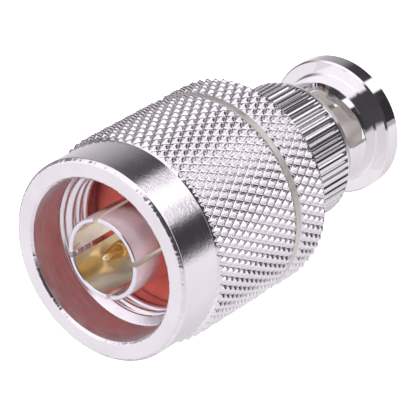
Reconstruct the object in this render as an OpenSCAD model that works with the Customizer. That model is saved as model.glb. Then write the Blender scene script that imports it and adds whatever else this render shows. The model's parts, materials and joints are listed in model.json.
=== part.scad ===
// Coaxial adapter from an N plug to a BNC plug, standing on its bayonet rim.
// Millimetres. Z is the connector axis, z = 0 is the rim's end face and the N mouth looks up.

/* [Bayonet sleeve] */
// Diameter of the end rim
rim_d = 14.4; // [13.6:0.1:16]
// Thickness of the end rim
rim_t = 1.87; // [1.4:0.01:2.4]
// Chamfer on the rim's two edges
rim_chamfer = 0.18; // [0.1:0.01:0.3]
// Space for the jack's shell between the contact tube and the sleeve's bore
shell_space = 0.85; // [0.8:0.01:0.95]
// Wall of the neck that the cam slots cut
neck_wall = 0.8; // [0.75:0.01:1.1]
// Length of the neck between rim and grip
neck_len = 6.18; // [6:0.01:6.8]
// Wall of the grip between the retaining ring's groove and the ridges
grip_wall = 0.77; // [0.3:0.01:1.2]
// Number of ridges round the grip
ridge_count = 54; // [40:1:72]
// Depth of the grooves between the ridges
ridge_depth = 0.28; // [0.15:0.01:0.35]
// Length of the smooth lip at the front of the grip
lip_len = 0.69; // [0.4:0.01:1]
// Drop in radius along the smooth lip
lip_drop = 0.24; // [0.1:0.01:0.4]
// Length of the plain chamfered end at the back of the grip
grip_end = 0.35; // [0.2:0.01:0.6]

/* [Cam slots] */
// Diameter of the mating jack's lug
lug_d = 2.0; // [1.8:0.05:2.1]
// Depth of the entry grooves for the lugs
lug_reach = 0.675; // [0.5:0.005:0.7]
// Clearance round a lug
lug_clear = 0.15; // [0.1:0.01:0.2]
// Turn from the entry groove to the detent, in degrees
cam_turn = 66; // [62:1:76]
// Turn from the entry groove to the top of the ramp, in degrees
cam_top_turn = 50; // [44:1:54]
// Rise of the ramp from the entry groove to its top
ramp_rise = 1.15; // [0.8:0.01:1.4]
// Land between the cam slot and the grip
cam_land = 1.15; // [0.8:0.01:1.4]
// Drop of the lug's centre from the top of the ramp to the detent
detent_drop = 0.8; // [0.5:0.01:1]

/* [Spring pack] */
// Depth from the rim's face to the body's flange
mate_depth = 11.6; // [11:0.1:12.6]
// Thickness of the body's flange
flange_t = 1.4; // [1:0.1:2]
// Width of the body's flange beyond the shank
flange_w = 1.12; // [1:0.01:1.3]
// Working height of the wave washer
wave_h = 0.9; // [0.7:0.05:1.2]
// Metal thickness of the wave washer
wave_t = 0.25; // [0.15:0.01:0.3]
// Waves round the wave washer
wave_count = 3; // [3:1:5]
// Thickness of the thrust washer
thrust_t = 0.5; // [0.3:0.05:0.8]
// Thickness of the sleeve's retaining ring
bnc_ring_t = 0.7; // [0.5:0.05:1]
// Depth of the retaining ring's groove in the sleeve
bnc_ring_depth = 0.4; // [0.25:0.01:0.45]
// Wall of the sleeve behind the retaining ring
sleeve_land = 0.83; // [0.6:0.01:1.2]

/* [BNC contacts] */
// Outer diameter of the slotted contact tube
bnc_contact_d = 8.1; // [8:0.02:8.3]
// Wall of the slotted contact tube
bnc_contact_wall = 0.45; // [0.35:0.01:0.5]
// Depth of the contact tube below the rim's face
bnc_contact_recess = 1.8; // [1.2:0.1:2.6]
// Extra radius of the contact tube where it passes the gasket
bnc_root_extra = 0.2; // [0.16:0.01:0.25]
// Length of the tube's slots
bnc_slot_len = 6; // [4:0.1:7]
// Depth to which the contact tube is set into the body
bnc_contact_seat = 2.4; // [1.8:0.1:3]
// Diameter of the BNC pin
bnc_pin_d = 1.37; // [1.3:0.01:1.4]
// Depth of the pin's tip below the rim's face
bnc_pin_recess = 2.1; // [1.6:0.1:3]
// Diameter of the pin's shaft inside the insulator
bnc_shaft_d = 2.2; // [1.8:0.05:2.6]
// Depth of the insulator's open end below the rim's face
bnc_insulator_recess = 3.2; // [2.6:0.1:4.5]
// Wall of the insulator's open end
bnc_insulator_wall = 1.12; // [1:0.01:1.3]
// Depth of the bottom of the insulator's open end below the rim's face
bnc_hollow_depth = 9.5; // [8:0.1:11]
// Height of the BNC gasket
bnc_gasket_t = 1.1; // [0.8:0.05:1.4]

/* [BNC body] */
// Wall of the body round the contact tube
shank_wall = 0.32; // [0.25:0.01:0.5]
// Step from the shank to the spigot that enters the N body
spigot_step = 0.4; // [0.3:0.01:0.5]
// Length of the spigot
spigot_len = 3.98; // [3:0.01:5]
// Step from the contact tube's bore to the body's bore
bnc_bore_step = 0.25; // [0.2:0.01:0.4]

/* [N coupling nut] */
// Gap between the sleeve and the nut
nut_gap = 0.97; // [0.7:0.01:1.6]
// Length of the nut
nut_len = 21.88; // [20.6:0.01:24]
// Drop from the knurl's points to the smooth collar, in radius
collar_drop = 0.54; // [0.2:0.01:0.8]
// Length of the smooth collar
collar_len = 4.96; // [3.6:0.01:6.5]
// Chamfer on the collar's front edge
collar_chamfer = 0.28; // [0.1:0.01:0.4]
// Diameter over the knurl's points
knurl_d = 21.62; // [20.6:0.02:22.6]
// Depth of the knurl
knurl_depth = 0.45; // [0.2:0.01:0.55]
// Diamonds round the knurl
knurl_count = 65; // [48:1:80]
// Length of one knurl diamond along the axis
knurl_pitch = 1.82; // [1.6:0.02:2.6]
// Length of the run-in at each end of a knurled band
knurl_run_in = 0.3; // [0.2:0.01:0.5]
// Wall of the nut between its bore and the knurl's roots
nut_wall = 2.43; // [1.9:0.01:2.9]
// Width of the smooth band between the two knurled bands
smooth_band_w = 0.79; // [0.5:0.01:1.2]
// Rise of the smooth band over the knurl's roots, as a share of the knurl's depth
smooth_band_share = 0.31; // [0.05:0.01:1]
// Distance from the nut's back face to the smooth band
smooth_band_back = 4.16; // [3:0.01:5.2]
// Plain length at the nut's back edge
nut_back_land = 0.25; // [0.15:0.01:0.5]
// Diameter of the N mouth
mouth_d = 16.5; // [16.2:0.02:17]
// Depth of the plain mouth in front of the thread
mouth_depth = 4.05; // [2.4:0.05:4.8]
// Chamfer on the mouth's edge
mouth_chamfer = 0.14; // [0.08:0.01:0.25]
// Major diameter of the N thread
thread_d = 15.875; // [15.8:0.005:15.9]
// Pitch of the N thread
thread_pitch = 1.058; // [1:0.001:1.1]
// Depth of the thread's far end below the mouth
thread_depth = 7.4; // [6.6:0.1:8.2]
// Depth of the relief behind the thread, beyond the nut's bore
relief_extra = 0.12; // [0.05:0.01:0.2]

/* [N body] */
// Distance from the nut's back face to the body's back face
n_body_recess = 0.3; // [0.1:0.01:0.8]
// Height of the N gasket
n_gasket_t = 1.4; // [1:0.05:1.8]
// Distance of the N gasket's edge from the body's edge
n_gasket_inset = 0.2; // [0.1:0.01:0.4]
// Depth of the N gasket's face below the mouth
n_gasket_depth = 9.2; // [8.8:0.05:10]
// Distance from the body's back face to the nut's retaining ring
n_ring_back = 5; // [4.6:0.1:7]
// Thickness of the nut's retaining ring
n_ring_t = 0.9; // [0.6:0.05:1.2]
// Reach of the ring into the body and into the nut
n_ring_reach = 0.6; // [0.4:0.01:0.7]
// Opening of both retaining rings
ring_opening = 2.4; // [1.6:0.1:4]
// Turn of the nut ring's opening, in degrees
n_ring_turn = 200; // [0:1:359]
// Turn of the sleeve ring's opening, in degrees
bnc_ring_turn = 90; // [0:1:359]

/* [N contacts] */
// Outer diameter of the slotted contact tube
n_contact_d = 8.3; // [8:0.02:8.5]
// Wall of the slotted contact tube
n_contact_wall = 0.48; // [0.35:0.01:0.5]
// Depth of the tube's end below the mouth
n_contact_recess = 0.52; // [0.3:0.01:1.2]
// Extra radius of the contact tube where it passes the gasket
n_root_extra = 0.2; // [0.16:0.01:0.3]
// Length of the tube's slots
n_slot_len = 6.6; // [5:0.1:7.6]
// Width of the slots in both contact tubes
contact_slot_w = 0.55; // [0.4:0.01:0.8]
// Slots in each contact tube
contact_slots = 4; // [3:1:6]
// Turn of the N tube's slots from the sleeve's entry grooves, in degrees
n_slot_turn = -9; // [-45:1:45]
// Width of the tube's seat flange
n_seat_w = 1.35; // [1:0.01:2]
// Thickness of the tube's seat flange
n_seat_t = 1; // [0.7:0.05:1.4]
// Length of the tube's tail below the flange
n_tail_len = 1.3; // [0.8:0.1:2]
// Diameter of the N pin
n_pin_d = 1.65; // [1.6:0.01:1.7]
// Depth of the pin's tip below the mouth
n_pin_recess = 0.75; // [0.4:0.05:1.6]
// Length of the pin's tapered tip
n_pin_taper = 2; // [1:0.1:3]
// Depth of the pin's shoulder below the mouth
n_pin_shoulder = 6.3; // [5.2:0.1:7.4]
// Diameter of the pin's shaft
n_shaft_d = 3.04; // [2.8:0.02:3.2]
// Width of the collar that holds the pin
n_pin_collar_w = 0.48; // [0.3:0.01:0.7]
// Height of the collar that holds the pin
n_pin_collar_t = 1.2; // [0.8:0.1:1.8]
// Depth of the N insulator's face below the mouth
n_insulator_depth = 10.9; // [10.6:0.1:12]
// Diameter of the stud that joins the two pins
stud_d = 1.2; // [1:0.05:1.4]
// Length of the stud that joins the two pins
stud_len = 3; // [2:0.1:4]

/* [Fits] */
// Radial clearance of pieces that turn
run_clear = 0.08; // [0.05:0.01:0.1]
// Axial clearance of pieces that turn
face_clear = 0.03; // [0.02:0.01:0.06]
// Radial clearance of pieces that are fixed together
seat_clear = 0.03; // [0.02:0.01:0.05]
// Clearance of pieces that pass each other freely
free_clear = 0.12; // [0.1:0.01:0.2]

/* [Hidden] */
round_fn = 144;
over = 0.2;

// Heights along the axis, from the rim's face up
lip_z = rim_t + neck_len;
slot_half = lug_d / 2 + lug_clear;
cam_top_z = lip_z - cam_land - slot_half;
detent_z = cam_top_z - detent_drop;
flange_z = mate_depth;
wave_z = flange_z + flange_t;
thrust_z = wave_z + wave_h;
bnc_ring_z = thrust_z + thrust_t + face_clear;
sleeve_len = bnc_ring_z + bnc_ring_t + sleeve_land;
nut_back = sleeve_len + nut_gap;
nut_front = nut_back + nut_len;
body_back = nut_back + n_body_recess;
spigot_top = body_back + spigot_len;
body_front = nut_front - n_gasket_depth - n_gasket_t;
seat_z = body_front - n_seat_t;
tail_z = seat_z - n_tail_len;
n_ring_z = body_back + n_ring_back;
insulator_top = nut_front - n_insulator_depth;
bnc_contact_top = flange_z + bnc_contact_seat;

// Radii that several pieces share
bnc_contact_r = bnc_contact_d / 2;
bnc_root_r = bnc_contact_r + bnc_root_extra;
bnc_contact_bore_r = bnc_contact_r - bnc_contact_wall;
bnc_insulator_r = bnc_contact_bore_r - seat_clear;
bnc_hollow_r = bnc_insulator_r - bnc_insulator_wall;
bnc_body_bore_r = bnc_contact_bore_r - bnc_bore_step;
bnc_seat_r = bnc_root_r + seat_clear;
shank_r = bnc_seat_r + shank_wall;
spigot_r = shank_r - spigot_step;
flange_r = shank_r + flange_w;
cavity_r = flange_r + run_clear;
bnc_ring_groove_r = cavity_r + bnc_ring_depth;
ridge_root_r = bnc_ring_groove_r + grip_wall;
grip_r = ridge_root_r + ridge_depth;
sleeve_bore_r = bnc_contact_r + shell_space;
lug_groove_r = sleeve_bore_r + lug_reach;
neck_r = sleeve_bore_r + neck_wall;
slot_half_turn = slot_half / neck_r * 180 / PI;
knurl_root_r = knurl_d / 2 - knurl_depth;
collar_r = knurl_d / 2 - collar_drop;
smooth_band_r = knurl_root_r + smooth_band_share * knurl_depth;
nut_bore_r = knurl_root_r - nut_wall;
n_body_r = nut_bore_r - run_clear;
n_gasket_r = n_body_r - n_gasket_inset;
thread_minor_r = thread_d / 2 - 0.5413 * thread_pitch;
relief_r = nut_bore_r + relief_extra;
n_contact_r = n_contact_d / 2;
n_root_r = n_contact_r + n_root_extra;
n_seat_r = n_contact_r + n_seat_w;
n_contact_bore_r = n_contact_r - n_contact_wall;
n_insulator_r = n_contact_bore_r - seat_clear;
n_shaft_r = n_shaft_d / 2;
n_pin_collar_r = n_shaft_r + n_pin_collar_w;
stud_r = stud_d / 2;

// A solid of revolution from a half section of [radius, height] points
module turned(section) {
    rotate_extrude($fn = round_fn) polygon(section);
}

// A plain ring between two radii and two heights
module ring(r_in, r_out, z_low, z_high) {
    turned([[r_in, z_low], [r_out, z_low], [r_out, z_high], [r_in, z_high]]);
}

// A ring with an opening, so that it can be sprung into its groove
module split_ring(r_in, r_out, z_low, thickness, turn) {
    difference() {
        ring(r_in, r_out, z_low, z_low + thickness);
        rotate(turn)
            translate([r_in / 2, -ring_opening / 2, z_low - over])
                cube([r_out, ring_opening, thickness + 2 * over]);
    }
}

// Radial saw cuts that turn the end of a tube into spring fingers
module finger_slots(r_out, z_low, z_high, turn) {
    for (i = [0:contact_slots - 1])
        rotate(turn + i * 360 / contact_slots)
            translate([0, -contact_slot_w / 2, z_low])
                cube([r_out + over, contact_slot_w, z_high - z_low]);
}

// Edge of the cam slot nearest the rim, as a height at a turn from the entry groove
function cam_ramp(turn) =
    let (share = max(0, cam_top_turn - turn) / (cam_top_turn + slot_half_turn))
    cam_top_z - slot_half - ramp_rise * share;
function arc_height(turn, centre_turn) =
    let (offset = (turn - centre_turn) / 180 * PI * neck_r)
    sqrt(max(0, slot_half * slot_half - offset * offset));
function cam_front(turn) =
    let (detent_edge = detent_z - arc_height(turn, cam_turn))
    turn > cam_turn ? detent_edge : min(cam_ramp(turn), detent_edge);
function cam_back(turn) =
    turn < 0 ? cam_top_z + arc_height(turn, 0)
    : turn > cam_turn ? cam_top_z + arc_height(turn, cam_turn)
    : cam_top_z + slot_half;

// The cam slot through the neck's wall, as a curved block
module cam_slot() {
    steps = 56;
    r_in = sleeve_bore_r - lug_d / 4;
    r_out = neck_r + lug_d / 4;
    turns = [for (i = [0:steps]) -slot_half_turn + i * (cam_turn + 2 * slot_half_turn) / steps];
    points = [for (t = turns) for (p = [[r_in, cam_front(t)], [r_out, cam_front(t)],
        [r_out, cam_back(t)], [r_in, cam_back(t)]]) [p.x * cos(t), p.x * sin(t), p.y]];
    sides = [for (i = [0:steps - 1]) for (k = [0:3])
        let (a = 4 * i + k, b = 4 * i + (k + 1) % 4)
        each [[a, b, a + 4], [b, b + 4, a + 4]]];
    last = 4 * steps;
    ends = [[0, 2, 1], [0, 3, 2], [last, last + 1, last + 2], [last, last + 2, last + 3]];
    polyhedron(points, concat(sides, ends), convexity = 6);
}

// Grooves in the bore that lead the jack's lugs to the cam slots
module entry_grooves() {
    intersection() {
        translate([0, 0, -over])
            cylinder(r = lug_groove_r, h = cam_top_z + over, $fn = round_fn);
        translate([-neck_r, -slot_half, -2 * over])
            cube([2 * neck_r, 2 * slot_half, cam_top_z + 4 * over]);
    }
}

// Straight flat-topped ridges round the grip
module grip_ridges(z_low, z_high) {
    pitch = 360 / ridge_count;
    outline = [for (i = [0:ridge_count - 1]) for (p = [[-0.40, 0], [-0.22, 1], [0.22, 1], [0.40, 0]])
        let (r = ridge_root_r + p.y * ridge_depth, a = (i + p.x) * pitch) [r * cos(a), r * sin(a)]];
    translate([0, 0, z_low])
        linear_extrude(z_high - z_low)
            difference() {
                polygon(outline);
                circle(r = (bnc_ring_groove_r + ridge_root_r) / 2, $fn = round_fn);
            }
}

module bayonet_sleeve() {
    c = rim_chamfer;
    lead = (lug_groove_r - sleeve_bore_r) / 2;
    shoulder_z = flange_z - face_clear;
    ridge_z = lip_z + lip_len;
    lip_band = lip_len / 6;
    section = [
        [sleeve_bore_r + lead, 0], [rim_d / 2 - c, 0], [rim_d / 2, c], [rim_d / 2, rim_t - c],
        [rim_d / 2 - c, rim_t], [neck_r + c, rim_t], [neck_r, rim_t + c], [neck_r, lip_z],
        [grip_r - lip_drop, lip_z], [grip_r + 0.01, ridge_z], [grip_r + 0.01, ridge_z + lip_band],
        [ridge_root_r, ridge_z + lip_band],
        [ridge_root_r, sleeve_len - grip_end], [ridge_root_r - grip_end / 2, sleeve_len],
        [cavity_r, sleeve_len], [cavity_r, bnc_ring_z + bnc_ring_t],
        [bnc_ring_groove_r, bnc_ring_z + bnc_ring_t], [bnc_ring_groove_r, bnc_ring_z],
        [cavity_r, bnc_ring_z], [cavity_r, shoulder_z], [sleeve_bore_r, shoulder_z],
        [sleeve_bore_r, lead]];
    color("gainsboro")
        difference() {
            union() {
                turned(section);
                grip_ridges(ridge_z + lip_band / 2, sleeve_len - grip_end);
            }
            for (side = [0, 180]) rotate(side) cam_slot();
            entry_grooves();
        }
}

// A washer whose flat section rises and falls round the axis
module wave_washer() {
    steps = 72;
    r_in = shank_r + free_clear;
    r_out = cavity_r - 2 * free_clear;
    swing = (wave_h - wave_t) / 2;
    corners = [[r_in, 0], [r_out, 0], [r_out, wave_t], [r_in, wave_t]];
    points = [for (i = [0:steps - 1]) let (a = i * 360 / steps) for (p = corners)
        [p.x * cos(a), p.x * sin(a), wave_z + p.y + swing * (1 - cos(wave_count * a))]];
    faces = [for (i = [0:steps - 1]) for (k = [0:3])
        let (j = (i + 1) % steps, n = (k + 1) % 4, a = 4 * i + k, b = 4 * i + n, c = 4 * j + k, d = 4 * j + n)
        each [[a, b, c], [b, d, c]]];
    color("silver") polyhedron(points, faces, convexity = 6);
}

module thrust_washer() {
    color("silver")
        ring(shank_r + free_clear, cavity_r - free_clear, thrust_z, thrust_z + thrust_t);
}

module bnc_retaining_ring() {
    color("silver")
        split_ring(shank_r + 4 * free_clear, bnc_ring_groove_r - seat_clear, bnc_ring_z, bnc_ring_t,
            bnc_ring_turn);
}

module bnc_body() {
    color("lightgray")
        turned([
            [bnc_seat_r, flange_z], [flange_r, flange_z], [flange_r, wave_z], [shank_r, wave_z],
            [shank_r, body_back], [spigot_r, body_back], [spigot_r, spigot_top],
            [bnc_body_bore_r, spigot_top], [bnc_body_bore_r, bnc_contact_top],
            [bnc_seat_r, bnc_contact_top]]);
}

module bnc_outer_contact() {
    lead = bnc_contact_wall / 3;
    z_low = bnc_contact_recess;
    root_z = flange_z - bnc_gasket_t - free_clear;
    color("silver")
        difference() {
            turned([
                [bnc_contact_bore_r, z_low], [bnc_contact_r - lead, z_low], [bnc_contact_r, z_low + lead],
                [bnc_contact_r, root_z], [bnc_root_r, root_z], [bnc_root_r, bnc_contact_top],
                [bnc_contact_bore_r, bnc_contact_top]]);
            finger_slots(bnc_contact_r, z_low - over, z_low + bnc_slot_len, 45);
        }
}

module bnc_gasket() {
    color("firebrick")
        ring(bnc_seat_r, sleeve_bore_r - 2 * run_clear, flange_z - bnc_gasket_t, flange_z);
}

module bnc_insulator() {
    shaft_bore_r = bnc_shaft_d / 2 + seat_clear;
    rear_r = bnc_body_bore_r - seat_clear;
    color("whitesmoke")
        turned([
            [bnc_hollow_r, bnc_insulator_recess], [bnc_insulator_r, bnc_insulator_recess],
            [bnc_insulator_r, bnc_contact_top], [rear_r, bnc_contact_top], [rear_r, spigot_top],
            [shaft_bore_r, spigot_top], [shaft_bore_r, bnc_hollow_depth],
            [bnc_hollow_r, bnc_hollow_depth]]);
}

module bnc_centre_pin() {
    pin_r = bnc_pin_d / 2;
    step_z = bnc_hollow_depth - free_clear;
    color("gold")
        turned([
            [0, bnc_pin_recess], [pin_r / 2, bnc_pin_recess], [pin_r, bnc_pin_recess + pin_r],
            [pin_r, step_z], [bnc_shaft_d / 2, step_z], [bnc_shaft_d / 2, spigot_top],
            [stud_r, spigot_top], [stud_r, spigot_top + stud_len], [0, spigot_top + stud_len]]);
}

module n_centre_pin() {
    pin_r = n_pin_d / 2;
    tip_r = 0.4 * pin_r;
    tip_z = nut_front - n_pin_recess;
    dome = [for (a = [0:22.5:90]) [tip_r * cos(a), tip_z - tip_r + tip_r * sin(a)]];
    socket_r = stud_r + seat_clear;
    socket_top = spigot_top + stud_len + free_clear;
    color("gold")
        turned(concat([
            [socket_r, spigot_top], [n_pin_collar_r, spigot_top],
            [n_pin_collar_r, spigot_top + n_pin_collar_t], [n_shaft_r, spigot_top + n_pin_collar_t],
            [n_shaft_r, nut_front - n_pin_shoulder - pin_r / 2],
            [n_shaft_r - pin_r / 2, nut_front - n_pin_shoulder], [pin_r, nut_front - n_pin_shoulder],
            [pin_r, tip_z - n_pin_taper]],
            dome, [[0, socket_top], [socket_r, socket_top]]));
}

module n_insulator() {
    pin_collar_r = n_pin_collar_r + seat_clear;
    shaft_bore_r = n_shaft_r + seat_clear;
    collar_top = spigot_top + n_pin_collar_t;
    color("whitesmoke")
        turned([
            [pin_collar_r, spigot_top], [n_insulator_r, spigot_top], [n_insulator_r, insulator_top],
            [shaft_bore_r, insulator_top], [shaft_bore_r, collar_top], [pin_collar_r, collar_top]]);
}

module n_outer_contact() {
    top_z = nut_front - n_contact_recess;
    root_z = body_front + n_gasket_t + free_clear;
    lead = n_contact_wall / 6;
    color("silver")
        difference() {
            turned([
                [n_contact_bore_r, tail_z], [n_contact_r, tail_z], [n_contact_r, seat_z],
                [n_seat_r, seat_z], [n_seat_r, body_front], [n_root_r, body_front],
                [n_root_r, root_z], [n_contact_r, root_z], [n_contact_r, top_z - lead],
                [n_contact_r - lead, top_z],
                [n_contact_bore_r + lead, top_z], [n_contact_bore_r, top_z - lead]]);
            finger_slots(n_contact_r, top_z - n_slot_len, top_z + over, n_slot_turn);
        }
}

module n_gasket() {
    edge = n_gasket_t / 8;
    face_z = body_front + n_gasket_t;
    color("firebrick")
        turned([
            [n_root_r + seat_clear, body_front], [n_gasket_r, body_front],
            [n_gasket_r, face_z - edge], [n_gasket_r - edge, face_z],
            [n_root_r + seat_clear, face_z]]);
}

module n_body() {
    spigot_bore_r = spigot_r + seat_clear;
    insulator_bore_r = n_insulator_r + seat_clear;
    tail_bore_r = n_contact_r + seat_clear;
    seat_bore_r = n_seat_r + seat_clear;
    ring_floor = n_body_r - n_ring_reach - seat_clear;
    color("lightgray")
        turned([
            [spigot_bore_r, body_back], [n_body_r, body_back], [n_body_r, n_ring_z], [ring_floor, n_ring_z],
            [ring_floor, n_ring_z + n_ring_t + face_clear], [n_body_r, n_ring_z + n_ring_t + face_clear],
            [n_body_r, body_front], [seat_bore_r, body_front], [seat_bore_r, seat_z], [tail_bore_r, seat_z],
            [tail_bore_r, tail_z - free_clear], [insulator_bore_r, tail_z - free_clear],
            [insulator_bore_r, spigot_top + free_clear], [spigot_bore_r, spigot_top + free_clear]]);
}

module n_retaining_ring() {
    color("silver")
        split_ring(n_body_r - n_ring_reach, nut_bore_r + n_ring_reach, n_ring_z, n_ring_t, n_ring_turn);
}

// A knurled band as a tube: each diamond is a low pyramid between crossing grooves,
// and past its upper end the band slopes down to end_r
module knurl_band(z_low, z_high, r_in, end_r) {
    around = 2 * knurl_count;
    rows = max(2, round((z_high - z_low - 2 * knurl_run_in) / knurl_pitch * 2));
    row_h = (z_high - z_low - 2 * knurl_run_in) / rows;
    crest_r = knurl_d / 2;
    heights = concat([z_low - over, z_low], [for (j = [0:rows]) z_low + knurl_run_in + j * row_h],
        [z_high, z_high + over]);
    levels = len(heights);
    skin = [for (j = [0:levels - 1]) for (k = [0:around - 1])
        let (raised = j > 1 && j < levels - 2 && (j + k) % 2 == 1,
            r = raised ? crest_r : j == levels - 1 ? end_r : knurl_root_r, a = k * 360 / around)
        [r * cos(a), r * sin(a), heights[j]]];
    lining = [for (z = [heights[0], heights[levels - 1]]) for (k = [0:around - 1])
        let (a = k * 360 / around) [r_in * cos(a), r_in * sin(a), z]];
    inner = levels * around;
    skin_faces = [for (j = [0:levels - 2]) for (k = [0:around - 1])
        let (n = (k + 1) % around, a = j * around + k, b = j * around + n, c = a + around, d = b + around)
        each (j + k) % 2 == 0 ? [[a, d, b], [a, c, d]] : [[a, c, b], [b, c, d]]];
    end_faces = [for (k = [0:around - 1])
        let (n = (k + 1) % around, top = (levels - 1) * around)
        each [[k, n, inner + n], [k, inner + n, inner + k],
            [top + n, top + k, inner + around + k], [top + n, inner + around + k, inner + around + n],
            [inner + k, inner + n, inner + around + n], [inner + k, inner + around + n, inner + around + k]]];
    polyhedron(concat(skin, lining), concat(skin_faces, end_faces), convexity = 10);
}

module n_coupling_nut() {
    c = collar_chamfer;
    core_r = (nut_bore_r + n_ring_reach + knurl_root_r) / 2;
    collar_z = nut_front - collar_len;
    smooth_low = nut_back + smooth_band_back;
    smooth_high = smooth_low + smooth_band_w;
    back_r = knurl_root_r + 0.02;
    land_z = nut_back + nut_back_land;
    lead_z = nut_front - mouth_depth;
    thread_z = lead_z - (mouth_d / 2 - thread_minor_r);
    relief_z = nut_front - thread_depth;
    step_z = body_front - face_clear - n_ring_t / 2;
    ring_floor = nut_bore_r + n_ring_reach + run_clear;
    ring_top = n_ring_z + n_ring_t + 2 * face_clear;
    section = [
        [nut_bore_r, nut_back], [back_r - nut_back_land / 2, nut_back],
        [back_r, nut_back + nut_back_land / 2],
        [back_r, land_z], [core_r, land_z], [core_r, smooth_low], [smooth_band_r, smooth_low],
        [smooth_band_r, smooth_high], [core_r, smooth_high], [core_r, collar_z], [collar_r, collar_z],
        [collar_r, nut_front - c], [collar_r - c, nut_front], [mouth_d / 2 + mouth_chamfer, nut_front],
        [mouth_d / 2, nut_front - mouth_chamfer], [mouth_d / 2, lead_z], [thread_minor_r, thread_z],
        [thread_minor_r, relief_z], [relief_r, relief_z], [relief_r, step_z], [nut_bore_r, step_z],
        [nut_bore_r, ring_top], [ring_floor, ring_top],
        [ring_floor, n_ring_z - face_clear], [nut_bore_r, n_ring_z - face_clear]];
    color("gainsboro") {
        turned(section);
        knurl_band(land_z, smooth_low, core_r - knurl_depth, knurl_root_r);
        knurl_band(smooth_high, collar_z, core_r - knurl_depth, min(knurl_root_r, collar_r - 0.05));
    }
}

n_coupling_nut();
n_retaining_ring();
n_gasket();
n_body();
n_outer_contact();
n_insulator();
n_centre_pin();
bnc_centre_pin();
bnc_insulator();
bnc_body();
bnc_outer_contact();
bnc_gasket();
bayonet_sleeve();
wave_washer();
thrust_washer();
bnc_retaining_ring();
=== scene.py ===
"""Looks of an N to BNC coaxial adapter in the frame of its solids: metres, z along the connector axis."""
import json
import math

import bpy
import numpy as np
from mathutils import Matrix, Vector


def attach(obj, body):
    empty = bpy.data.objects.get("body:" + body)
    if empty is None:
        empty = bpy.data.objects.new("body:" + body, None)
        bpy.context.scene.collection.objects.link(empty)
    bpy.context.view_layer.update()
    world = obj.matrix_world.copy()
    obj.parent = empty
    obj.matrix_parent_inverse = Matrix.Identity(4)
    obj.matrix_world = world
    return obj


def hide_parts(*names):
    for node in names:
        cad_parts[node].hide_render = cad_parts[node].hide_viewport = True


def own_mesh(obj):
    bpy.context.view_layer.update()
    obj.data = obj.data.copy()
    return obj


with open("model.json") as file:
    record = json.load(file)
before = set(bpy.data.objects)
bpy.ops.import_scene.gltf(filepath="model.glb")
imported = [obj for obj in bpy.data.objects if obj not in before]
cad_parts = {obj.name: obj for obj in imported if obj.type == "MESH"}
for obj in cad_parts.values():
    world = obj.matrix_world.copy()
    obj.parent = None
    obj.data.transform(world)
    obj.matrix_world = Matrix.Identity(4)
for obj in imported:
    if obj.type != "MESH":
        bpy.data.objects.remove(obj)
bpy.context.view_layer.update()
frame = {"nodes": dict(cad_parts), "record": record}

MM = 0.001
TURN = 2 * math.pi

# Coupling nut: heights along the axis, radii and lengths in millimetres
NUT_BACK = 16.93
NUT_FRONT = 38.81
NUT_BORE_R = 7.93
BORE_END_Z = 17.2
BACK_CHAMFER = 0.125
BACK_BAND_LOW = 17.18
SMOOTH_BAND_LOW = 21.09
SMOOTH_BAND_HIGH = 21.88
SMOOTH_BAND_R = 10.5
SMOOTH_FOOT_R = 10.4
COLLAR_LOW = 33.85
COLLAR_R = 10.27
COLLAR_EDGE_LOW = 38.48
FACE_R = 9.95
MOUTH_R = 8.25
MOUTH_CHAMFER = 0.24
MOUTH_EDGE_R = MOUTH_R + MOUTH_CHAMFER
MOUTH_EDGE_LOW = NUT_FRONT - MOUTH_CHAMFER
LEAD_IN_Z = 34.76
RELIEF_R = 8.05
RELIEF_TOP = 31.36
RELIEF_LOW = 27.73
RELIEF_CHAMFER = 0.06
RING_GROOVE_R = 8.61
RING_GROOVE_LOW = 22.2
RING_GROOVE_HIGH = 23.19
SEAM = 0.02

# Wear of the collar's front edges: its reach and depths in millimetres, and its waves round the nut
WEAR_REACH = 0.14
FACE_WEAR = 0.12
MOUTH_WEAR = 0.07
WEAR_COUNTS = np.array([23, 41, 67, 103, 149])
WEAR_SHIFTS = np.array([0.3, 2.1, 4.4, 1.2, 5.3])

# Knurl: lengths in millimetres, angles in degrees, KNURL_TWIST in degrees a millimetre
KNURL_ROOT_R = 10.36
KNURL_END_R = 10.38
KNURL_DEPTH = 0.45
KNURL_POINTS = 65
KNURL_HALF_ROW = 0.91
KNURL_TWIST = 0.112
KNURL_TURN = 2.27
KNURL_START = 17.56
KNURL_BEVEL = 1.0
KNURL_MARGIN = 0.03
KNURL_CAP = 0.93
KNURL_EASE = 0.1
KNURL_STEPS = 4
FINE_STEPS = 3

# Thread in the nut, with its crest and flank as shares of half a pitch
THREAD_MAJOR_R = 7.9375
THREAD_MINOR_R = 7.365
THREAD_PITCH = 1.058
THREAD_END_Z = 31.41
THREAD_CREST = 0.25
THREAD_FLANK = 0.625
THREAD_ROWS = 32

# Centre pin of the N plug
PIN_SOCKET_R = 0.63
PIN_SOCKET_TOP = 24.33
PIN_FOOT = 21.21
PIN_FLANGE_R = 2.0
PIN_FLANGE_TOP = 22.41
PIN_SHANK_R = 1.52
PIN_SHANK_CHAMFER = 0.41
PIN_SHOULDER = 32.51
PIN_R = 0.825
PIN_TAPER_LOW = 36.06
PIN_NOSE_R = 0.36
PIN_NOSE_LOW = 37.75
PIN_TIP_R = 0.2
PIN_TIP = 38.06

# Seal of the N plug
SEAL_BORE_R = 4.38
SEAL_R = 7.65
SEAL_LIP_R = 8.03
SEAL_BACK = 28.21
SEAL_LIP_START = 29.2
SEAL_LIP_LOW = 29.4
SEAL_FRONT = 29.61
SEAL_EDGE = 0.02

# Spring washer of the bayonet sleeve
SPRING_BORE_R = 4.72
SPRING_R = 5.56
SPRING_LOW = 13.0
SPRING_THICK = 0.25
SPRING_WAVES = 3
SPRING_SWING = 0.315

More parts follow.
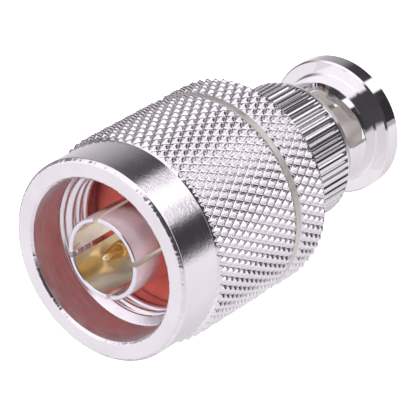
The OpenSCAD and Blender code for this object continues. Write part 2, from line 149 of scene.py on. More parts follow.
# Zones of the bayonet sleeve and the contact tubes that have a finish of their own; the tubes' inside and face
# zones also carry painted light in their tone
GRIP_RIDGES = 54
GRIP_INNER_R = 6.8
GRIP_LOW = 8.9
GRIP_HIGH = 15.9
CROWN_SLOPE = 0.22
FLANK_SLOPE = 0.6
SLEEVE_INSIDE_R = 5.3
TUBE_INSIDE_R = 3.9
TUBE_DULL_BELOW = 18.0
TUBE_FACE_ABOVE = 38.2

# Floor and camera: places and lens in millimetres, and the directions of sight and up
FLOOR_R = 3000
FLOOR_Z = -0.02
FLOOR_COLUMNS = 64
CAMERA_LENS = 250.96
CAMERA_PLACE = (189.177, 69.046, 220.552)
CAMERA_LOOK = (-0.66939, -0.24744, -0.7005)
CAMERA_UP = (0.03255, 0.93223, -0.3604)


def rounded_run(corners, closed, steps=2, guard=0.05):
    """Half section through corners of (radius, height, blend).

    A corner becomes a parabola between the two points that lie its blend away along its sides. Every side gets
    a guard point near each of its ends, so that flats stay flat when they are shaded.
    """
    table = np.array(corners, float)
    points, blends = table[:, :2], table[:, 2:]
    back, ahead = np.roll(points, 1, 0) - points, np.roll(points, -1, 0) - points
    back_len = np.linalg.norm(back, axis=1, keepdims=True)
    ahead_len = np.linalg.norm(ahead, axis=1, keepdims=True)
    enter = points + back / back_len * np.minimum(blends, 0.45 * back_len)
    leave = points + ahead / ahead_len * np.minimum(blends, 0.45 * ahead_len)
    if not closed:
        enter[[0, -1]] = leave[[0, -1]] = points[[0, -1]]
    t = np.linspace(0, 1, steps + 1)[None, :, None]
    arcs = (1 - t) ** 2 * enter[:, None] + 2 * t * (1 - t) * points[:, None] + t * t * leave[:, None]
    side = np.roll(arcs[:, 0], -1, 0) - arcs[:, -1]
    side_len = np.linalg.norm(side, axis=1, keepdims=True)
    inset = side / np.maximum(side_len, 1e-9) * np.minimum(guard, 0.25 * side_len)
    guards = np.stack([arcs[:, -1] + inset, arcs[:, -1] + side - inset], 1)
    run = np.concatenate([arcs, guards], 1)
    if closed:
        return run.reshape(-1, 2)
    middle = run[1:-1].reshape(-1, 2)
    return np.concatenate([points[:1], guards[0], middle, points[-1:]])


def new_piece(name, points, triangles, material, sharp_deg=32):
    """Mesh object from whole arrays of points in millimetres and triangles, smooth but for sharp edges."""
    mesh = bpy.data.meshes.new(name)
    mesh.vertices.add(len(points))
    mesh.vertices.foreach_set("co", (np.asarray(points) * MM).astype(np.float32).ravel())
    mesh.loops.add(triangles.size)
    mesh.loops.foreach_set("vertex_index", triangles.astype(np.int32).ravel())
    mesh.polygons.add(len(triangles))
    mesh.polygons.foreach_set("loop_start", np.arange(0, triangles.size, 3, dtype=np.int32))
    mesh.polygons.foreach_set("use_smooth", np.ones(len(triangles), bool))
    mesh.update(calc_edges=True)
    mesh.validate()
    mesh.set_sharp_from_angle(angle=math.radians(sharp_deg))
    mesh.materials.append(material)
    piece = bpy.data.objects.new(name, mesh)
    bpy.context.scene.collection.objects.link(piece)
    return piece


def ring_triangles(rows, columns, wrap, cross=None):
    """Two triangles for every cell of a grid whose columns close into rings.

    The rows close too if wrap is set. A cell is split from its first to its third corner, or across the
    other way where cross is set.
    """
    row, column = np.meshgrid(np.arange(rows if wrap else rows - 1), np.arange(columns), indexing="ij")
    next_row, next_column = (row + 1) % rows, (column + 1) % columns
    corner_1, corner_2 = row * columns + column, row * columns + next_column
    corner_3, corner_4 = next_row * columns + next_column, next_row * columns + column
    cross = np.zeros(row.shape, bool) if cross is None else cross
    first = np.stack([corner_1, corner_2, np.where(cross, corner_4, corner_3)], -1)
    second = np.stack([np.where(cross, corner_2, corner_1), corner_3, corner_4], -1)
    return np.concatenate([first.reshape(-1, 3), second.reshape(-1, 3)])


def ring_points(radius, height, angle):
    """Points of a surface of revolution, whose radius and height go by row, or by row and column."""
    radius = np.broadcast_to(radius, np.broadcast_shapes(radius.shape, angle.shape))
    height = np.broadcast_to(height, radius.shape)
    return np.stack([radius * np.cos(angle), radius * np.sin(angle), height], -1)


def even_angles(columns):
    """Angles of even columns round the axis, as one row."""
    return np.arange(columns)[None, :] * TURN / columns


def turned_ring(name, corners, material, columns=180):
    """Closed half section carried once round the axis."""
    run = rounded_run(corners, True)
    points = ring_points(run[:, :1], run[:, 1:], even_angles(columns))
    return new_piece(name, points.reshape(-1, 3), ring_triangles(len(run), columns, True), material)


def turned_solid(name, corners, material, columns=120):
    """Half section from one point on the axis to another, carried round it, with a point at each pole."""
    run = rounded_run(corners, False)
    rings = ring_points(run[1:-1, :1], run[1:-1, 1:], even_angles(columns)).reshape(-1, 3)
    poles = np.array([[0, 0, run[0, 1]], [0, 0, run[-1, 1]]])
    column = np.arange(columns)
    next_column = (column + 1) % columns
    last = len(rings) - columns
    low = np.stack([np.full(columns, len(rings)), next_column, column], -1)
    high = np.stack([np.full(columns, len(rings) + 1), last + column, last + next_column], -1)
    triangles = np.concatenate([ring_triangles(len(run) - 2, columns, False), low, high])
    return new_piece(name, np.concatenate([rings, poles]), triangles, material)


def wave_ring(name, corners, waves, swing, material, columns=144):
    """Closed half section carried round the axis as it rises by swing times 1 - cos(waves x turn)."""
    run = rounded_run(corners, True)
    angle = even_angles(columns)
    points = ring_points(run[:, :1], run[:, 1:] + swing * (1 - np.cos(waves * angle)), angle)
    return new_piece(name, points.reshape(-1, 3), ring_triangles(len(run), columns, True), material)


def nut_angles(z, columns):
    """Angles of the nut's grid: even columns that twist slowly along the axis, as the knurl's points do."""
    return even_angles(columns) + math.radians(KNURL_TURN) - math.radians(KNURL_TWIST) * (z - KNURL_START)


def knurl_rows(low, high, low_r, high_r, columns):
    """Radius and height of a knurled band between two heights, and which way its cells are split.

    Counted in half diamonds, a point lies x round and y along from the nearest peak. Its height is the
    pyramid 1 - |x| - |y|, eased over at the top by a smooth minimum. Each end starts at a radius of its own,
    below which the grooves run out, and rises from it as a bevel. The last rows before the high end lie
    closer together.
    """
    step = KNURL_HALF_ROW / KNURL_STEPS
    first = math.ceil((low + KNURL_MARGIN - KNURL_START) / step)
    last = math.floor((high - KNURL_MARGIN - KNURL_START) / step)
    count = np.arange(first, last + 1)
    finer = np.arange(FINE_STEPS * count[-3], FINE_STEPS * count[-1] + 1) / FINE_STEPS
    count = np.concatenate([count[:-3], finer])
    z = np.concatenate([[low], KNURL_START + count * step, [high - KNURL_MARGIN / 2, high]])[:, None]
    round_by = np.arange(columns)[None, :] / KNURL_STEPS
    along_by = (z - KNURL_START) / KNURL_HALF_ROW
    rising, falling = (round_by + along_by) / 2, (round_by - along_by) / 2
    off_rising, off_falling = rising - np.round(rising), falling - np.round(falling)
    pyramid = 1 - np.abs(off_rising + off_falling) - np.abs(off_rising - off_falling)
    eased = 0.5 * (pyramid + KNURL_CAP - np.sqrt((pyramid - KNURL_CAP) ** 2 + KNURL_EASE ** 2))
    peak = 0.5 * (1 + KNURL_CAP - math.hypot(1 - KNURL_CAP, KNURL_EASE))
    radius = KNURL_ROOT_R + KNURL_DEPTH * np.maximum(eased, 0) / peak
    for end_r, inwards in ((low_r, z - low), (high_r, high - z)):
        radius = np.minimum(np.maximum(radius, end_r - inwards), end_r + KNURL_BEVEL * inwards)
    row_half = np.floor((np.concatenate([[first - 1], count, [last]]) + 0.5) / KNURL_STEPS)[:, None]
    column_half = np.floor((np.arange(columns) + 0.5) / KNURL_STEPS)[None, :]
    cross = (row_half + column_half) % 2 == 0
    return radius, z, cross


def thread_rows(columns):
    """Radius and height of the lead-in and of the right-hand thread behind it, from the mouth inwards.

    The thread is a 60 degree groove with flat crests a quarter of the pitch wide, wound round as
    height / pitch - turns; the 45 degree lead-in cuts the first turns away, so the larger radius holds.
    """
    z = np.linspace(LEAD_IN_Z - 3 * SEAM, THREAD_END_Z, THREAD_ROWS)[:, None]
    phase = (z / THREAD_PITCH - nut_angles(z, columns) / TURN) % 1
    from_crest = np.abs(phase - 0.5) * 2
    groove = np.clip((from_crest - THREAD_CREST) / THREAD_FLANK, 0, 1)
    thread = THREAD_MINOR_R + (THREAD_MAJOR_R - THREAD_MINOR_R) * groove
    lead_in = MOUTH_R - (LEAD_IN_Z - z)
    return np.maximum(thread, lead_in), z


def worn_edges(section, columns):
    """Radius of the collar's section, rows by columns, with its two front edges worn uneven.

    Close to an edge, by a bell of the distance from it, the radius moves in and out by a mean of sines of
    the turn.
    """
    radius, z = section[:, :1], section[:, 1:]
    wear = np.sin(nut_angles(z, columns)[..., None] * WEAR_COUNTS + WEAR_SHIFTS).mean(-1)
    for edge_r, depth in ((FACE_R, FACE_WEAR), (MOUTH_EDGE_R, MOUTH_WEAR)):
        near = np.exp(-((radius - edge_r) ** 2 + (z - NUT_FRONT) ** 2) / WEAR_REACH ** 2)
        radius = radius - depth * near * wear
    return radius


def coupling_nut(material):
    """Nut as one closed section carried round: back, knurl, collar, mouth, thread and stepped bore."""
    columns = 2 * KNURL_POINTS * KNURL_STEPS
    back = rounded_run([
        (NUT_BORE_R, BORE_END_Z, 0), (NUT_BORE_R, NUT_BACK, 0.08),
        (KNURL_END_R - BACK_CHAMFER, NUT_BACK, 0.05), (KNURL_END_R, NUT_BACK + BACK_CHAMFER, 0.05),
        (KNURL_END_R, BACK_BAND_LOW - SEAM, 0)], False)
    smooth_low, smooth_high = SMOOTH_BAND_LOW + SEAM / 2, SMOOTH_BAND_HIGH - SEAM / 2
    smooth = rounded_run([
        (SMOOTH_FOOT_R, smooth_low, 0), (SMOOTH_BAND_R, smooth_low, 0.05),
        (SMOOTH_BAND_R, smooth_high, 0.05), (SMOOTH_FOOT_R, smooth_high, 0)], False)
    collar = rounded_run([
        (COLLAR_R, COLLAR_LOW + SEAM, 0), (COLLAR_R, COLLAR_EDGE_LOW, 0.035), (FACE_R, NUT_FRONT, 0.09),
        (MOUTH_EDGE_R, NUT_FRONT, 0.03), (MOUTH_R, MOUTH_EDGE_LOW, 0.015),
        (MOUTH_R, LEAD_IN_Z - SEAM, 0)], False)
    bore = np.array([
        (RELIEF_R - RELIEF_CHAMFER, THREAD_END_Z - SEAM / 2), (RELIEF_R, RELIEF_TOP),
        (RELIEF_R, RELIEF_LOW), (NUT_BORE_R, RELIEF_LOW),
        (NUT_BORE_R, RING_GROOVE_HIGH), (RING_GROOVE_R, RING_GROOVE_HIGH),
        (RING_GROOVE_R, RING_GROOVE_LOW), (NUT_BORE_R, RING_GROOVE_LOW)])
    back_band = knurl_rows(BACK_BAND_LOW, SMOOTH_BAND_LOW, KNURL_END_R, KNURL_END_R, columns)
    front_band = knurl_rows(SMOOTH_BAND_HIGH, COLLAR_LOW, KNURL_END_R, COLLAR_R, columns)
    blocks = [
        (back[:, :1], back[:, 1:]), back_band[:2], (smooth[:, :1], smooth[:, 1:]), front_band[:2],
        (worn_edges(collar, columns), collar[:, 1:]), thread_rows(columns), (bore[:, :1], bore[:, 1:])]
    grid = np.concatenate([ring_points(radius, z, nut_angles(z, columns)) for radius, z in blocks])
    cross = np.zeros((len(grid), columns), bool)
    back_start = len(back)
    front_start = back_start + len(back_band[0]) + len(smooth)
    cross[back_start:back_start + len(back_band[2])] = back_band[2]
    cross[front_start:front_start + len(front_band[2])] = front_band[2]
    triangles = ring_triangles(len(grid), columns, True, cross)
    return new_piece("coupling_nut", grid.reshape(-1, 3), triangles, material, sharp_deg=100)


def centre_pin(material):
    """Pin of the N plug as one turned solid: socket behind, flange, shank, contact and rounded point."""
    return turned_solid("n_pin", [
        (0, PIN_SOCKET_TOP, 0), (PIN_SOCKET_R, PIN_SOCKET_TOP, 0.02), (PIN_SOCKET_R, PIN_FOOT, 0.02),
        (PIN_FLANGE_R, PIN_FOOT, 0.05), (PIN_FLANGE_R, PIN_FLANGE_TOP, 0.05),
        (PIN_SHANK_R, PIN_FLANGE_TOP, 0.05), (PIN_SHANK_R, PIN_SHOULDER - PIN_SHANK_CHAMFER, 0.1),
        (PIN_SHANK_R - PIN_SHANK_CHAMFER, PIN_SHOULDER, 0.1), (PIN_R, PIN_SHOULDER, 0.05),
        (PIN_R, PIN_TAPER_LOW, 0.5), (PIN_NOSE_R, PIN_NOSE_LOW, 0.3),
        (PIN_TIP_R, PIN_TIP, 0.14), (0, PIN_TIP, 0)], material)


def mouth_seal(material):
    """Seal at the bottom of the N mouth as a turned ring, whose front lip fills the nut's relief."""
    return turned_ring("n_seal", [
        (SEAL_BORE_R, SEAL_BACK, 0.05), (SEAL_R, SEAL_BACK, 0.05), (SEAL_R, SEAL_LIP_START, 0.1),
        (SEAL_LIP_R, SEAL_LIP_LOW, 0.1), (SEAL_LIP_R, SEAL_FRONT - SEAL_EDGE, 0.01),
        (SEAL_LIP_R - SEAL_EDGE, SEAL_FRONT, 0.01), (SEAL_BORE_R, SEAL_FRONT, 0.08)], material)


def spring_washer(material):
    """Waved spring washer of the bayonet sleeve."""
    top = SPRING_LOW + SPRING_THICK
    return wave_ring("spring_washer", [
        (SPRING_BORE_R, SPRING_LOW, 0.04), (SPRING_R, SPRING_LOW, 0.04), (SPRING_R, top, 0.04),
        (SPRING_BORE_R, top, 0.04)], SPRING_WAVES, SPRING_SWING, material)


# Materials

def node(tree, kind, settings=None, **inputs):
    """New shader node with its settings and its inputs, where an input is a value or another node's output.

    An input goes by its name, or by its count as _0, _1 and on where a node's names repeat.
    """
    made = tree.nodes.new(kind)
    for key, value in (settings or {}).items():
        setattr(made, key, value)
    for key, value in inputs.items():
        socket = made.inputs[int(key[1:])] if key[1:].isdigit() else made.inputs[key.replace("_", " ")]
        if isinstance(value, bpy.types.NodeSocket):
            tree.links.new(value, socket)
        else:
            socket.default_value = value
    return made


def ramp(tree, factor, stops, mode="LINEAR"):
    """Colour ramp through stops of (place, grey or colour)."""
    made = node(tree, "ShaderNodeValToRGB", Fac=factor)
    made.color_ramp.interpolation = mode
    elements = made.color_ramp.elements
    while len(elements) < len(stops):
        elements.new(0.5)
    while len(elements) > len(stops):
        elements.remove(elements[-1])
    for element, (place, colour) in zip(elements, stops):
        colour = (colour,) * 3 if isinstance(colour, float) else colour
        element.position = place
        element.color = (*colour, 1)
    return made.outputs["Color"]


def blank_material(name):
    """Material with a Principled surface and the Object coordinates that its patterns read."""
    material = bpy.data.materials.new(name)
    material.use_nodes = True
    tree = material.node_tree
    tree.nodes.clear()
    surface = node(tree, "ShaderNodeBsdfPrincipled")
    out = node(tree, "ShaderNodeOutputMaterial", Surface=surface.outputs["BSDF"])
    out.target = "ALL"
    place = node(tree, "ShaderNodeTexCoord").outputs["Object"]
    return material, tree, surface, place


def cloud(tree, place, size_mm, detail=3.0, rough=0.55):
    """Noise whose features are about size_mm across."""
    return node(tree, "ShaderNodeTexNoise", Vector=place, Scale=1 / (size_mm * MM), Detail=detail,
                Roughness=rough).outputs["Fac"]


def round_the_axis(tree, place, share):
    """Place squeezed to a share of itself across the axis, which draws a pattern out into lines round it."""
    return node(tree, "ShaderNodeMapping", Vector=place, Scale=(share, share, 1.0)).outputs["Vector"]


def maths(tree, operation, *values):
    """One Math node's output."""
    return node(tree, "ShaderNodeMath", {"operation": operation},
                **{"_%d" % i: value for i, value in enumerate(values)}).outputs[0]


def blend(tree, factor, first, second, mode="MIX"):
    """Mix of two colours or outputs by a factor."""
    return node(tree, "ShaderNodeMix", {"data_type": "RGBA", "blend_type": mode},
                _0=factor, _6=first, _7=second).outputs[2]


def axis_distance(tree, place):
    """Distance from the connector axis and height along it, in millimetres."""
    split = node(tree, "ShaderNodeSeparateXYZ", Vector=place).outputs
    x, y = split["X"], split["Y"]
    square = maths(tree, "ADD", maths(tree, "MULTIPLY", x, x), maths(tree, "MULTIPLY", y, y))
    distance = maths(tree, "MULTIPLY", maths(tree, "SQRT", square), 1 / MM)
    return distance, maths(tree, "MULTIPLY", split["Z"], 1 / MM)


def turned_skin(tree, surface, place, marks_mm, marks, pits, under=None):
    """Turning marks round the axis and small handling pits, as bump over the normal under them."""
    lines = cloud(tree, round_the_axis(tree, place, 0.05), marks_mm, 4.0, 0.7)
    specks = ramp(tree, cloud(tree, place, 0.5, 2.0), [(0.28, 0.0), (0.36, 1.0)])
    turning = node(tree, "ShaderNodeBump", Strength=marks, Distance=0.02 * MM, Height=lines)
    if under:
        tree.links.new(under, turning.inputs["Normal"])
    dents = node(tree, "ShaderNodeBump", Strength=pits, Distance=0.02 * MM, Height=specks,
                 Normal=turning.outputs["Normal"])
    tree.links.new(dents.outputs["Normal"], surface.inputs["Normal"])


def plated_metal(name, tones, gloss, marks_mm, marks, pits, bore=None, foot=None, tip=None):
    """Plated metal: cloudy tone, uneven gloss, turning marks, pits.

    bore is the (radius, gloss, tone) of another gloss and tone inside, foot the (height, gloss, tone) of
    another below and tip that of another above; on the contact tubes the bore's and tip's tones are partly
    painted light.
    """
    material, tree, surface, place = blank_material(name)
    surface.inputs["Metallic"].default_value = 1.0
    tone = ramp(tree, cloud(tree, place, 4.0), [(0.3, tones[0]), (0.7, tones[1])])
    sheen = ramp(tree, cloud(tree, place, 1.3, 5.0), [(0.3, gloss[0]), (0.72, gloss[1])])
    radius, height = axis_distance(tree, place)
    zones = (radius, "LESS_THAN", bore), (height, "LESS_THAN", foot), (height, "GREATER_THAN", tip)
    for measure, side, zone in zones:
        if zone:
            limit, zone_gloss, zone_tone = zone
            within = maths(tree, side, measure, limit)
            sheen = blend(tree, within, sheen, (zone_gloss,) * 3 + (1,))
            tone = blend(tree, within, tone, (*zone_tone, 1))
    tree.links.new(tone, surface.inputs["Base Color"])
    tree.links.new(sheen, surface.inputs["Roughness"])
    turned_skin(tree, surface, place, marks_mm, marks, pits)
    return material


def nut_finish(name):
    """Nickel plate of the coupling nut: bright knurl, dull beige band toned down with painted shade, satin
    collar, dull and streaky mouth.

    Gloss, tone and grain are steps along the axis, one set outside and another inside the mouth's radius.
    """
    material, tree, surface, place = blank_material(name)
    surface.inputs["Metallic"].default_value = 1.0
    radius, height = axis_distance(tree, place)
    span = 40
    along = maths(tree, "MULTIPLY", height, 1 / span)
    inside = maths(tree, "LESS_THAN", radius, MOUTH_R + 0.08)
    # Borders of the zones, a little off the edges that they follow
    band, band_end = SMOOTH_BAND_LOW - 0.01, SMOOTH_BAND_HIGH + 0.01
    collar, edge, face = COLLAR_LOW + 0.03, COLLAR_EDGE_LOW - 0.04, NUT_FRONT - 0.02
    thread, wall = THREAD_END_Z - 0.01, LEAD_IN_Z - 0.05
    wall_rub, wall_end = MOUTH_EDGE_LOW - 0.07, MOUTH_EDGE_LOW - 0.02

    def zones(outer, inner):
        out_step = ramp(tree, along, [(z / span, value) for z, value in outer], "CONSTANT")
        in_step = ramp(tree, along, [(z / span, value) for z, value in inner], "CONSTANT")
        return blend(tree, inside, out_step, in_step)

    gloss = zones([(0.0, 0.1), (band, 0.52), (band_end, 0.1), (collar, 0.15)],
                  [(0.0, 0.1), (thread, 0.24), (wall, 0.45), (wall_end, 0.16)])
    uneven = ramp(tree, cloud(tree, place, 1.0, 5.0), [(0.3, 0.75), (0.72, 1.25)])
    tree.links.new(blend(tree, 1.0, gloss, uneven, "MULTIPLY"), surface.inputs["Roughness"])
    cloudy = ramp(tree, cloud(tree, place, 4.0), [(0.3, (0.87, 0.85, 0.88)), (0.7, (0.94, 0.92, 0.95))])
    # The smooth band's beige tone is its own colour, set a little darker as painted shade of the band lying
    # below the knurl's crests.
    dull = zones([(0.0, 0.0), (band, 1.0), (band_end, 0.0)], [(0.0, 0.0)])
    tone = blend(tree, dull, cloudy, (0.80, 0.77, 0.73, 1))
    lines = cloud(tree, round_the_axis(tree, place, 0.06), 0.22, 5.0, 0.7)
    streaks = ramp(tree, lines, [(0.35, 0.82), (0.6, 1.0)])
    streaky = zones([(0.0, 0.0)], [(0.0, 0.0), (wall, 0.9), (wall_end, 0.0)])
    tree.links.new(blend(tree, streaky, tone, streaks, "MULTIPLY"), surface.inputs["Base Color"])
    grain = zones([(0.0, 0.02), (band, 0.2), (band_end, 0.02), (collar, 0.1)],
                  [(0.0, 0.02), (thread, 0.1), (wall, 0.6), (wall_end, 0.1)])
    rub = zones([(0.0, 0.02), (band, 0.05), (band_end, 0.02), (collar, 0.27), (edge, 0.6), (face, 0.3)],
                [(0.0, 0.02), (wall_rub, 0.5)])
    peel = node(tree, "ShaderNodeBump", Strength=rub, Distance=0.04 * MM,
                Height=cloud(tree, place, 0.3, 4.0, 0.65))
    turned_skin(tree, surface, place, 0.2, grain, 0.1, peel.outputs["Normal"])
    return material


def sleeve_finish(name):
    """Polished nickel plate of the bayonet sleeve, dull in its bore.

    On the grip the normal is worked out from the place: it points away from the axis, tilted a little along
    the turn by sin(ridges x turn), which crowns the ridges, and more on the flanks, where the cosine is low.
    """
    material, tree, surface, place = blank_material(name)
    surface.inputs["Metallic"].default_value = 1.0
    tone = ramp(tree, cloud(tree, place, 4.0), [(0.3, (0.88, 0.87, 0.89)), (0.7, (0.94, 0.93, 0.94))])
    tree.links.new(tone, surface.inputs["Base Color"])
    radius, height = axis_distance(tree, place)
    sheen = ramp(tree, cloud(tree, place, 1.3, 5.0), [(0.3, 0.06), (0.72, 0.1)])
    sheen = blend(tree, maths(tree, "LESS_THAN", radius, SLEEVE_INSIDE_R), sheen, (0.35, 0.35, 0.35, 1))
    grip_middle, grip_half = 0.5 * (GRIP_LOW + GRIP_HIGH), 0.5 * (GRIP_HIGH - GRIP_LOW)
    on_grip = maths(tree, "MULTIPLY", maths(tree, "GREATER_THAN", radius, GRIP_INNER_R),
                    maths(tree, "COMPARE", height, grip_middle, grip_half))
    sheen = blend(tree, on_grip, sheen, (0.14, 0.14, 0.14, 1))
    tree.links.new(sheen, surface.inputs["Roughness"])
    split = node(tree, "ShaderNodeSeparateXYZ", Vector=place).outputs
    x, y = split["X"], split["Y"]
    phase = maths(tree, "MULTIPLY", maths(tree, "ARCTAN2", y, x), GRIP_RIDGES)
    flank = ramp(tree, maths(tree, "MULTIPLY_ADD", maths(tree, "COSINE", phase), 0.5, 0.5),
                 [(0.05, 0.0), (0.12, 1.0), (0.35, 1.0), (0.48, 0.0)])
    slope = maths(tree, "SINE", phase)
    steep = maths(tree, "MULTIPLY", maths(tree, "SIGN", slope), maths(tree, "MULTIPLY", flank, FLANK_SLOPE))
    tilt = maths(tree, "MULTIPLY_ADD", slope, CROWN_SLOPE, steep)
    outward = node(tree, "ShaderNodeCombineXYZ",
                   X=maths(tree, "SUBTRACT", x, maths(tree, "MULTIPLY", tilt, y)),
                   Y=maths(tree, "ADD", y, maths(tree, "MULTIPLY", tilt, x))).outputs[0]
    to_world = {"vector_type": "NORMAL", "convert_from": "OBJECT", "convert_to": "WORLD"}
    turned = node(tree, "ShaderNodeVectorTransform", to_world, Vector=outward).outputs[0]
    unit = node(tree, "ShaderNodeVectorMath", {"operation": "NORMALIZE"}, _0=turned).outputs[0]
    plain = node(tree, "ShaderNodeNewGeometry").outputs["Normal"]
    ridged = node(tree, "ShaderNodeMix", {"data_type": "VECTOR"}, _0=on_grip, _4=plain, _5=unit).outputs[1]
    turned_skin(tree, surface, place, 0.05, 0.04, 0.03, ridged)
    return material


def gold_plate(name):
    """Gold plate over turned brass, with fine marks round the axis."""
    material, tree, surface, place = blank_material(name)
    surface.inputs["Metallic"].default_value = 1.0
    tone = ramp(tree, cloud(tree, place, 1.5), [(0.3, (0.88, 0.71, 0.40)), (0.7, (0.95, 0.82, 0.53))])
    tree.links.new(tone, surface.inputs["Base Color"])
    sheen = ramp(tree, cloud(tree, place, 0.6, 4.0), [(0.3, 0.09), (0.7, 0.18)])
    tree.links.new(sheen, surface.inputs["Roughness"])
    lines = cloud(tree, round_the_axis(tree, place, 0.05), 0.08)
    marks = node(tree, "ShaderNodeBump", Strength=0.1, Distance=0.01 * MM, Height=lines)
    tree.links.new(marks.outputs["Normal"], surface.inputs["Normal"])
    return material


def silicone(name):
    """Moulded red silicone with a dusty, mottled skin."""
    material, tree, surface, place = blank_material(name)
    mottle = cloud(tree, place, 1.2, 5.0)
    tone = ramp(tree, mottle, [(0.3, (0.43, 0.08, 0.065)), (0.7, (0.50, 0.105, 0.085))])
    tree.links.new(tone, surface.inputs["Base Color"])
    sheen = ramp(tree, cloud(tree, place, 0.5, 3.0), [(0.3, 0.42), (0.7, 0.62)])
    tree.links.new(sheen, surface.inputs["Roughness"])
    dust = cloud(tree, place, 0.12, 4.0)
    skin = node(tree, "ShaderNodeBump", Strength=0.25, Distance=0.02 * MM, Height=dust)
    tree.links.new(skin.outputs["Normal"], surface.inputs["Normal"])
    return material


def fluoropolymer(name):
    """White insulator with a faint grain, a little translucent."""
    material, tree, surface, place = blank_material(name)
    tone = ramp(tree, cloud(tree, place, 2.0, 4.0), [(0.3, (0.80, 0.79, 0.76)), (0.7, (0.88, 0.88, 0.86))])
    tree.links.new(tone, surface.inputs["Base Color"])
    sheen = ramp(tree, cloud(tree, place, 0.8), [(0.3, 0.38), (0.7, 0.55)])
    tree.links.new(sheen, surface.inputs["Roughness"])
    surface.inputs["Subsurface Weight"].default_value = 0.15
    surface.inputs["Subsurface Scale"].default_value = 0.5 * MM
    grain = cloud(tree, place, 0.15)
    skin = node(tree, "ShaderNodeBump", Strength=0.15, Distance=0.02 * MM, Height=grain)
    tree.links.new(skin.outputs["Normal"], surface.inputs["Normal"])
    return material


nut_plate = nut_finish("nut_plate")
sleeve_plate = sleeve_finish("polished_sleeve_plate")
body_plate = plated_metal(
    "body_plate", tones=((0.72, 0.70, 0.69), (0.80, 0.78, 0.77)), gloss=(0.2, 0.32),
    marks_mm=0.07, marks=0.15, pits=0.05)
# The contact tubes' pink tones are a painted reflection of the red seal. Their face above TUBE_FACE_ABOVE
# keeps a pale lavender tone without that tint. Their bore's full, warm tone is partly painted light:
# brightened for light reaching deep into the tube, and warmed as a painted reflection of the gold pin.
contact_plate_painted_tint = plated_metal(
    "contact_plate_painted_tint", tones=((0.94, 0.80, 0.80), (0.98, 0.87, 0.87)), gloss=(0.2, 0.28),
    marks_mm=0.07, marks=0.1, pits=0.0, bore=(TUBE_INSIDE_R, 0.15, (1.0, 0.95, 0.9)),
    foot=(TUBE_DULL_BELOW, 0.5, (0.97, 0.93, 0.87)), tip=(TUBE_FACE_ABOVE, 0.2, (0.86, 0.86, 0.93)))
spring_plate = plated_metal(
    "spring_steel", tones=((0.58, 0.57, 0.55), (0.68, 0.67, 0.65)), gloss=(0.24, 0.36),
    marks_mm=0.05, marks=0.1, pits=0.05)
gold = gold_plate("gold_plate")
red_rubber = silicone("red_silicone_rubber")
white_bead = fluoropolymer("white_fluoropolymer")

# New pieces

nut = coupling_nut(nut_plate)
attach(nut, "nut")
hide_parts("n_coupling_nut")

pin = centre_pin(gold)
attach(pin, "core")
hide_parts("n_centre_pin")

seal = mouth_seal(red_rubber)
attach(seal, "core")
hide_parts("n_gasket")

spring = spring_washer(spring_plate)
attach(spring, "core")
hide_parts("wave_washer")
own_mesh(spring)

finishes = {
    "plated_sleeve": sleeve_plate, "plated_body": body_plate, "plated_contact": contact_plate_painted_tint,
    "gold_contact": gold, "spring_metal": spring_plate, "red_silicone": red_rubber,
    "white_insulator": white_bead, "plated_nut": nut_plate,
}
for part in frame["record"]["subparts"]:
    shown = frame["nodes"][part["node"]].data
    shown.materials.clear()
    shown.materials.append(finishes[part["material_slot"]])

# Floor, light and camera

def bare_floor():
    """White disc under the part; the camera sees it near white and the part's shadow stays on it."""
    angle = np.arange(FLOOR_COLUMNS) * TURN / FLOOR_COLUMNS
    rim = np.stack([FLOOR_R * np.cos(angle), FLOOR_R * np.sin(angle), np.full(FLOOR_COLUMNS, FLOOR_Z)], -1)
    points = np.concatenate([rim, [[0, 0, FLOOR_Z]]])
    column = np.arange(FLOOR_COLUMNS)
    middle = np.full(FLOOR_COLUMNS, FLOOR_COLUMNS)
    triangles = np.stack([middle, column, (column + 1) % FLOOR_COLUMNS], -1)
    material, tree, surface, place = blank_material("white_floor")
    tone = ramp(tree, cloud(tree, place, 60.0), [(0.3, (0.93, 0.93, 0.93)), (0.7, (0.95, 0.95, 0.95))])
    tree.links.new(tone, surface.inputs["Base Color"])
    surface.inputs["Roughness"].default_value = 0.9
    surface.inputs["Specular IOR Level"].default_value = 0.0
    seen = node(tree, "ShaderNodeLightPath").outputs["Is Camera Ray"]
    surface.inputs["Emission Color"].default_value = (1, 1, 1, 1)
    tree.links.new(maths(tree, "MULTIPLY", seen, 0.75), surface.inputs["Emission Strength"])
    floor = new_piece("floor", points, triangles, material)
    floor.visible_glossy = False


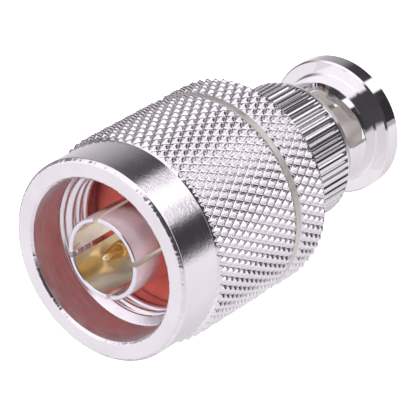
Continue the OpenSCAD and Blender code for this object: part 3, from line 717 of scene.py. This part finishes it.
def studio():
    """White surroundings for the camera, pale cards and dark gaps for the metal, even light for the rest.

    A ring of cards is a list of (bearing in degrees, grey). The five rings lie one over the other, from
    straight down to straight up, and each blends into the next between two heights of the unit direction.
    """
    world = bpy.data.worlds.new("studio")
    bpy.context.scene.world = world
    world.use_nodes = True
    tree = world.node_tree
    tree.nodes.clear()
    direction = node(tree, "ShaderNodeTexCoord").outputs["Generated"]
    split = node(tree, "ShaderNodeSeparateXYZ", Vector=direction).outputs
    bearing = maths(tree, "MULTIPLY_ADD", maths(tree, "ARCTAN2", split["Y"], split["X"]), 1 / TURN, 0.5)

    def cards_at(*stops):
        tinted = [(degrees / 360 + 0.5, (grey, 0.95 * grey, grey)) for degrees, grey in stops]
        return ramp(tree, bearing, tinted)

    below = cards_at(
        (-180, 0.6), (-105, 0.6), (-92, 0.5), (-75, 0.2), (-20, 0.15), (10, 0.25), (40, 0.6), (90, 0.6),
        (120, 0.5), (150, 0.4), (180, 0.6))
    lower = cards_at(
        (-180, 0.9), (-140, 0.88), (-120, 0.72), (-80, 0.8), (-31, 0.9), (-28, 0.4), (-21, 0.38),
        (-19, 0.035), (31, 0.03), (34, 1.2), (55, 1.2), (57, 0.035), (92, 0.06), (110, 0.3), (150, 0.5),
        (180, 0.9))
    low = cards_at(
        (-180, 0.75), (-125, 0.7), (-80, 0.85), (-30, 0.95), (-23, 0.08), (-10, 0.06), (12, 0.06), (18, 1.3),
        (66, 1.3), (74, 0.09), (100, 0.12), (125, 0.38), (180, 0.75))
    mid = cards_at(
        (-180, 0.55), (-150, 0.5), (-130, 0.55), (-105, 0.9), (-75, 1.0), (-50, 0.85), (-22, 0.8), (0, 0.85),
        (14, 1.05), (28, 1.2), (60, 1.2), (84, 0.95), (100, 0.55), (114, 0.2), (124, 0.12), (140, 0.16),
        (160, 0.4), (180, 0.55))
    high = cards_at(
        (-180, 0.95), (-130, 0.85), (-70, 0.8), (-31, 0.8), (-25, 0.06), (48, 0.06), (54, 1.15), (150, 1.1),
        (180, 0.95))

    cards = below
    rings = (lower, -0.93, -0.82), (low, -0.73, -0.69), (mid, -0.55, -0.3), (high, 0.08, 0.42)
    for ring, start, end in rings:
        step = node(tree, "ShaderNodeMapRange", {"interpolation_type": "SMOOTHSTEP"}, Value=split["Z"],
                    From_Min=start, From_Max=end).outputs["Result"]
        cards = blend(tree, step, cards, ring)
    path = node(tree, "ShaderNodeLightPath").outputs
    shown = blend(tree, path["Is Camera Ray"], cards, (1, 1, 1, 1))
    around = node(tree, "ShaderNodeBackground", Color=shown, Strength=1.0)
    even = node(tree, "ShaderNodeBackground", Color=(1, 0.985, 1, 1), Strength=0.75)
    sharp = maths(tree, "MAXIMUM", maths(tree, "MAXIMUM", path["Is Camera Ray"], path["Is Glossy Ray"]),
                  path["Is Transmission Ray"])
    both = node(tree, "ShaderNodeMixShader", _0=sharp, _1=even.outputs[0], _2=around.outputs[0])
    node(tree, "ShaderNodeOutputWorld", Surface=both.outputs[0])


def key_light(position, target, size, watts):
    """Square lamp at a position in millimetres, turned towards a target, which metal doesn't mirror."""
    lamp = bpy.data.lights.new("key_light", "AREA")
    lamp.energy = watts
    lamp.size = size * MM
    made = bpy.data.objects.new("key_light", lamp)
    place, aim = Vector(position) * MM, Vector(target) * MM
    turn = (aim - place).to_track_quat("-Z", "Y").to_matrix().to_4x4()
    made.matrix_world = Matrix.Translation(place) @ turn
    made.visible_glossy = False
    bpy.context.scene.collection.objects.link(made)


def camera_view():
    """Camera of the photograph: its place, its line of sight and the direction that is up in the picture."""
    camera = bpy.data.cameras.new("photo_camera")
    camera.sensor_width = 36.0
    camera.lens = CAMERA_LENS
    camera.clip_start = 0.01
    camera.clip_end = 20.0
    made = bpy.data.objects.new("photo_camera", camera)
    look = Vector(CAMERA_LOOK).normalized()
    right = look.cross(Vector(CAMERA_UP)).normalized()
    up = right.cross(look)
    turn = Matrix((right, up, -look)).transposed().to_4x4()
    made.matrix_world = Matrix.Translation(Vector(CAMERA_PLACE) * MM) @ turn
    bpy.context.scene.collection.objects.link(made)
    bpy.context.scene.camera = made


bare_floor()
studio()
key_light(position=(5, 110, 330), target=(0, 0, 20), size=200, watts=1.4)
camera_view()
bpy.context.scene.view_settings.view_transform = "Standard"
bpy.context.scene.cycles.max_bounces = 24
bpy.context.scene.cycles.glossy_bounces = 16
